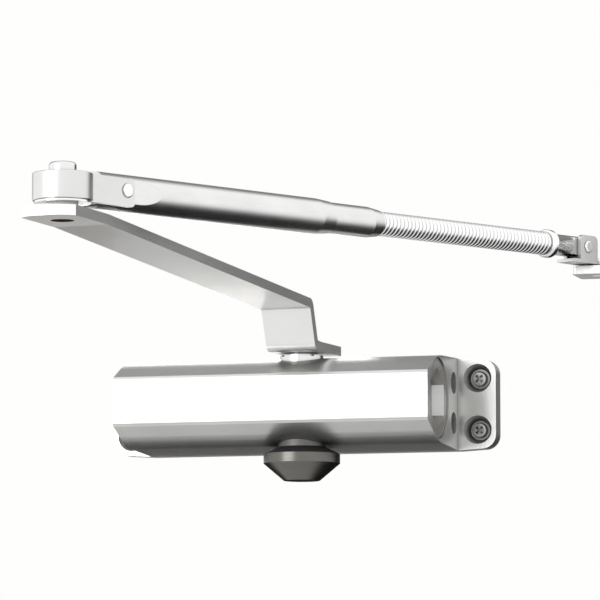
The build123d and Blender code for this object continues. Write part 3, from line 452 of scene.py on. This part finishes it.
# %% The threaded rod
def thread_radius(place):
    """Radius of the thread at a place counted in turns: broad crests and narrow round roots."""
    from_root = abs(place % 1.0 - 0.5) * 2
    rise = min(1.0, from_root / ROOT_SHARE)
    crown = CROWN * (1 - from_root) ** 2
    return THREAD_ROOT + (THREAD_CREST - THREAD_ROOT) * (math.sin(rise * math.pi / 2) - crown * rise)


def threaded_sleeve(name, origin, start, end):
    """Surface of a rolled thread round the forearm's axis, shallower at its two ends."""
    steps = round((end - start) / THREAD_PITCH * PITCH_STEPS)
    rings = []
    for i in range(steps + 1):
        s = start + (end - start) * i / steps
        height = max(0.0, min(1.0, (end - s) / RUN_OUT, (s - start) / RUN_OUT + FIRST_HEIGHT))
        ring = []
        for k in range(ROUND_STEPS):
            angle = 2 * math.pi * k / ROUND_STEPS
            full = thread_radius(s / THREAD_PITCH - k / ROUND_STEPS)
            radius = THREAD_ROOT + (full - THREAD_ROOT) * height
            ring.append(origin + along * s + across * radius * math.cos(angle)
                        + above * radius * math.sin(angle))
        rings.append(ring)
    return skin(name, [rings])


def cut_copy(node, name, point, normal):
    """A copy of a CAD node's mesh with everything behind a plane cut away and capped."""
    mesh = bmesh.new()
    mesh.from_mesh(nodes[node].data)
    bmesh.ops.remove_doubles(mesh, verts=mesh.verts, dist=1e-7)
    cut = bmesh.ops.bisect_plane(mesh, geom=mesh.verts[:] + mesh.edges[:] + mesh.faces[:],
                                 plane_co=point, plane_no=normal, clear_inner=True)
    edges = [g for g in cut["geom_cut"] if isinstance(g, bmesh.types.BMEdge)]
    bmesh.ops.holes_fill(mesh, edges=edges)
    return to_piece(name, mesh)


rod_thread = threaded_sleeve("rod_thread", forearm_zero, THREAD_START, THREAD_END + THREAD_OVERRUN)
rod_neck = cut_copy("threaded_rod", "rod_neck", forearm_zero + along * (THREAD_END - NECK_OVERLAP), along)
dress(rod_thread, rolled_zinc, THREAD_SHARP)
dress(rod_neck, rolled_zinc)
for obj in (rod_thread, rod_neck):
    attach(obj, "rod")
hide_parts("threaded_rod")
print("faces of the thread and the neck:", [len(obj.data.polygons) for obj in (rod_thread, rod_neck)])

# %% [markdown]
# A plated collar with rounded edges ends the thread. It is a turned piece, so its outline, as
# places along the axis and radii, is turned about that axis. It is shorter than the CAD's,
# which agrees better with the photo, and it stands for that node.

# %% The collar at the end of the thread
COLLAR_START, COLLAR_LENGTH = 307.7 * MM, 4.2 * MM
COLLAR_RADIUS, COLLAR_BORE, COLLAR_EDGE = 6.4 * MM, 4.9 * MM, 1.1 * MM
EDGE_ANGLES = [math.radians(degrees) for degrees in range(0, 91, 15)]


def round_collar(name, origin, outline):
    """A ring turned about the forearm's axis, from an outline of places along it and radii."""
    turn = [2 * math.pi * k / ROUND_STEPS for k in range(ROUND_STEPS)]
    rings = [[origin + along * s + (across * math.cos(a) + above * math.sin(a)) * r for a in turn]
             for s, r in outline]
    return skin(name, [rings], endless=True)


collar_end = COLLAR_START + COLLAR_LENGTH
edge = [(COLLAR_EDGE * (1 - math.sin(a)), COLLAR_RADIUS - COLLAR_EDGE * (1 - math.cos(a)))
        for a in EDGE_ANGLES]
outline = [(COLLAR_START, COLLAR_BORE)]
outline += [(COLLAR_START + inward, radius) for inward, radius in reversed(edge)]
outline += [(collar_end - inward, radius) for inward, radius in edge]
outline += [(collar_end, COLLAR_BORE)]
short_collar = round_collar("short_collar", forearm_zero, outline)
dress(short_collar, bright_zinc)
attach(short_collar, "rod")
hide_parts("rod_collar")
print("collar:", round(COLLAR_LENGTH / MM, 1), "mm long, from", len(outline), "places of its outline")

# %% [markdown]
# The fixing screws cut their own thread in the door. A thin ridge wound round each shank shows
# it, sharp at its crest and wider spaced than a machine thread. The ridge is a triangle swept
# along a helix, with its foot sunk in the shank so that no gap shows, and it grows from nothing
# at both ends.

# %% Threads on the fixing screws
SCREW_X, SCREW_Z = 82.5 * MM, 11.75 * MM
SCREW_PLACES = [(x * SCREW_X, z * SCREW_Z) for x in (-1, 1) for z in (-1, 1)]
RIDGE_START, RIDGE_END, RIDGE_PITCH = 3.0 * MM, 25.5 * MM, 2.0 * MM
RIDGE_HEIGHT, RIDGE_HALF, RIDGE_SUNK = 0.55 * MM, 0.45 * MM, 0.15 * MM
RIDGE_STEPS, GROWING_STEPS = 24, 18
SHANK_RADIUS = 2.4 * MM
POINT_START, POINT_LENGTH, POINT_SHARE = 24.0 * MM, 5.0 * MM, 0.25


def shank_radius(depth):
    """Radius of the shank at a depth behind the mounting face, narrowing to the point."""
    if depth < POINT_START:
        return SHANK_RADIUS
    return SHANK_RADIUS * max(POINT_SHARE, 1 - (depth - POINT_START) / POINT_LENGTH)


def screw_ridges():
    """Triangular ridges wound round the four shanks."""
    turns = (RIDGE_END - RIDGE_START) / RIDGE_PITCH
    steps = int(turns * RIDGE_STEPS)
    half = Vector((0, RIDGE_HALF, 0))
    rows = []
    for x, z in SCREW_PLACES:
        rings = []
        for i in range(steps + 1):
            angle = 2 * math.pi * turns * i / steps
            depth = RIDGE_START + (RIDGE_END - RIDGE_START) * i / steps
            grown = min(1.0, i / GROWING_STEPS, (steps - i) / GROWING_STEPS)
            out = Vector((math.cos(angle), 0, math.sin(angle)))
            foot = shank_radius(depth) - RIDGE_SUNK
            centre = Vector((x, depth, z))
            rings.append([centre + out * foot - half,
                          centre + out * (foot + (RIDGE_HEIGHT + RIDGE_SUNK) * grown),
                          centre + out * foot + half])
        rows.append(rings)
    return skin("fixing_screw_threads", rows)


screw_threads = screw_ridges()
dress(screw_threads, bright_zinc)
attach(screw_threads, "door_side")
print("turns on each screw:", (RIDGE_END - RIDGE_START) / RIDGE_PITCH)

# %% [markdown]
# The closing spring is wound again with closed end coils, which stand flat on the seat and on
# the piston. The CAD's coil can't shorten, and the piston would run through it. This one is
# wound at its length at rest, 46 mm.

# %% The closing spring
SPRING_LEFT, SPRING_RIGHT, BORE_DEPTH = -58.64 * MM, -12.56 * MM, 44.0 * MM
COIL_RADIUS, WIRE_RADIUS = 12.7 * MM, 1.6 * MM
COILS, CLOSED_COILS = 6.5, 0.8
CLOSED_PITCH = 2.02 * WIRE_RADIUS
COIL_STEPS, WIRE_STEPS = 36, 14


def wound_spring():
    """The wire of the closing spring, with its end coils closed up."""
    free = SPRING_RIGHT - SPRING_LEFT - 2 * WIRE_RADIUS
    open_pitch = (free - 2 * CLOSED_COILS * CLOSED_PITCH) / (COILS - 2 * CLOSED_COILS)
    section = [2 * math.pi * k / WIRE_STEPS for k in range(WIRE_STEPS)]
    rings = []
    for i in range(int(COILS * COIL_STEPS) + 1):
        turn = i / COIL_STEPS
        closed = min(turn, CLOSED_COILS) + max(0.0, turn - (COILS - CLOSED_COILS))
        x = SPRING_LEFT + WIRE_RADIUS + closed * CLOSED_PITCH + (turn - closed) * open_pitch
        out = Vector((0, math.cos(2 * math.pi * turn), math.sin(2 * math.pi * turn)))
        centre = Vector((x, -BORE_DEPTH, 0)) + out * COIL_RADIUS
        rings.append([centre + (out * math.cos(a) + Vector((1, 0, 0)) * math.sin(a)) * WIRE_RADIUS
                      for a in section])
    return skin("wound_spring", [rings])


spring = wound_spring()
dress(spring, spring_steel)
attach(spring, "door_side")
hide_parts("closing_spring")
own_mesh(spring)

# %% [markdown]
# Everything stands over a pale matt floor. It has to light the undersides softly, but the photo
# shows that the metal mirrors a dark room below and not a floor, so mirrored rays pass it by. It
# is clear when seen from beneath, so that the part can be looked at from there too.

# %% Floor
HALF_FLOOR, FLOOR_HEIGHT = 4.0, -0.32
CORNERS = [(-1, -1), (1, -1), (1, 1), (-1, 1)]

floor_mesh = bpy.data.meshes.new("floor")
floor_mesh.from_pydata([(x * HALF_FLOOR, y * HALF_FLOOR, FLOOR_HEIGHT) for x, y in CORNERS],
                       [], [(0, 1, 2, 3)])
floor = new_object("floor", floor_mesh)
floor_paint, floor_tree, floor_shader = blank_material("pale_floor_paint")
floor_shader.inputs["Base Color"].default_value = linear("#D9D8D6")
floor_shader.inputs["Roughness"].default_value = 0.85
from_below = add(floor_tree, "ShaderNodeNewGeometry").outputs["Backfacing"]
clear = add(floor_tree, "ShaderNodeBsdfTransparent")
one_way = add(floor_tree, "ShaderNodeMixShader", _0=from_below, _1=floor_shader.outputs[0],
              _2=clear.outputs[0])
floor_tree.links.new(one_way.outputs[0], floor_tree.nodes["Material Output"].inputs["Surface"])
floor.data.materials.append(floor_paint)
floor.visible_glossy = False
print("floor at", FLOOR_HEIGHT, "m")

# %% [markdown]
# Product photographs of plain metal are made inside a tent of white cloth, and what looks like
# shading is mostly what each face mirrors. The tent could be built of walls, but here it is part
# of the world: light that depends on its direction alone. It is white in front and at the sides
# and a little darker towards the floor. Soft-edged grey patches behind the object give the upper
# facet, the end faces and the sides of round pieces their tones, and the darkest, low at the
# back, draws the line along the underside of every round piece.

# %% The tent, as light that comes from each direction
TENT_LOW, TENT_HIGH = (1.15, 1.15, 1.15, 1.0), (1.5, 1.5, 1.5, 1.0)
# The middle of each patch, the angles in degrees where it is full and where it ends, its colour
TENT_PATCHES = [
    ((-0.3, -0.8, -0.5), 18, 40, (0.95, 0.95, 0.95)),  # low in front
    ((-0.35, 0.8, 0.5), 20, 42, (0.26, 0.26, 0.26)),  # high behind, in the upper facet
    ((0.25, 0.95, 0.08), 14, 30, (0.36, 0.36, 0.36)),  # behind to the right, in the end faces
    ((-0.3, 0.94, 0.1), 5, 15, (0.2, 0.2, 0.2)),  # straight behind, in faces seen edge on
    ((0.5, 0.86, 0.0), 8, 24, (0.3, 0.3, 0.3)),  # further right, in the sides of round pieces
    ((-0.3, 0.93, -0.2), 12, 26, (0.95, 0.92, 0.88)),  # just below, in the arm's underside
    ((0.36, 0.81, -0.46), 24, 46, (0.02, 0.02, 0.02)),  # the dark room, in round undersides
]

world = bpy.data.worlds.new("studio")
bpy.context.scene.world = world
world.use_nodes = True
sky = world.node_tree
sky.nodes.clear()
direction = add(sky, "ShaderNodeTexCoord").outputs["Generated"]
height = add(sky, "ShaderNodeSeparateXYZ", Vector=direction).outputs[2]
raised = add(sky, "ShaderNodeMapRange", Value=height, From_Min=-0.75, From_Max=-0.35).outputs[0]
tent = add(sky, "ShaderNodeMix", {"data_type": "RGBA"}, _0=raised, _6=TENT_LOW, _7=TENT_HIGH).outputs[2]
for centre, inner, outer, colour in TENT_PATCHES:
    closeness = add(sky, "ShaderNodeVectorMath", {"operation": "DOT_PRODUCT"}, _0=direction,
                    _1=Vector(centre).normalized())
    inside = add(sky, "ShaderNodeMapRange", {"interpolation_type": "SMOOTHSTEP"},
                 Value=closeness.outputs[1], From_Min=math.cos(math.radians(outer)),
                 From_Max=math.cos(math.radians(inner)))
    tent = add(sky, "ShaderNodeMix", {"data_type": "RGBA"}, _0=inside.outputs[0], _6=tent,
               _7=(*colour, 1.0)).outputs[2]
lit = add(sky, "ShaderNodeBackground", Color=tent, Strength=1.0)
white = add(sky, "ShaderNodeBackground", Color=linear("#FEFEFD"), Strength=1.0)
seen = add(sky, "ShaderNodeLightPath").outputs["Is Camera Ray"]
both = add(sky, "ShaderNodeMixShader", _0=seen, _1=lit.outputs[0], _2=white.outputs[0])
add(sky, "ShaderNodeOutputWorld", Surface=both.outputs[0])
print("patches in the tent:", len(TENT_PATCHES))

# %% [markdown]
# A tent alone gives no direction, so a large soft panel stands in front, to the left. Two small
# things behind the body are mirrored in faces that look down: a strip of light brightens the
# underside of the arm, and a black card under it darkens the underside of the body.

# %% Panels and cards near the object
CARD_LEFT, CARD_RIGHT, CARD_LOW, CARD_HIGH, CARD_DEPTH = -0.35, 0.25, -0.15, -0.03, 0.05


def panel(name, place, target, size, power):
    """A rectangular soft light that faces a point of the object."""
    lamp = bpy.data.lights.new(name, "AREA")
    lamp.shape, lamp.size, lamp.size_y, lamp.energy = "RECTANGLE", size[0], size[1], power
    obj = new_object(name, lamp)
    obj.location = place
    obj.rotation_euler = (Vector(target) - Vector(place)).to_track_quat("-Z", "Y").to_euler()
    obj.visible_camera = False


panel("front_panel", place=(-0.95, -2.0, 0.15), target=(0, -0.05, 0), size=(1.2, 1.0), power=16)
panel("back_strip", place=(-0.08, 0.1, 0.08), target=(-0.08, 0, 0.08), size=(0.16, 0.055), power=0.13)

flag_mesh = bpy.data.meshes.new("black_card")
flag_mesh.from_pydata([(CARD_LEFT, CARD_DEPTH, CARD_LOW), (CARD_RIGHT, CARD_DEPTH, CARD_LOW),
                       (CARD_RIGHT, CARD_DEPTH, CARD_HIGH), (CARD_LEFT, CARD_DEPTH, CARD_HIGH)],
                      [], [(0, 1, 2, 3)])
flag = new_object("black_card", flag_mesh)
flag_paint, _, flag_shader = blank_material("black_card")
flag_shader.inputs["Base Color"].default_value = linear("#0A0A0A")
flag_shader.inputs["Roughness"].default_value = 0.9
flag.data.materials.append(flag_paint)
flag.visible_camera = False
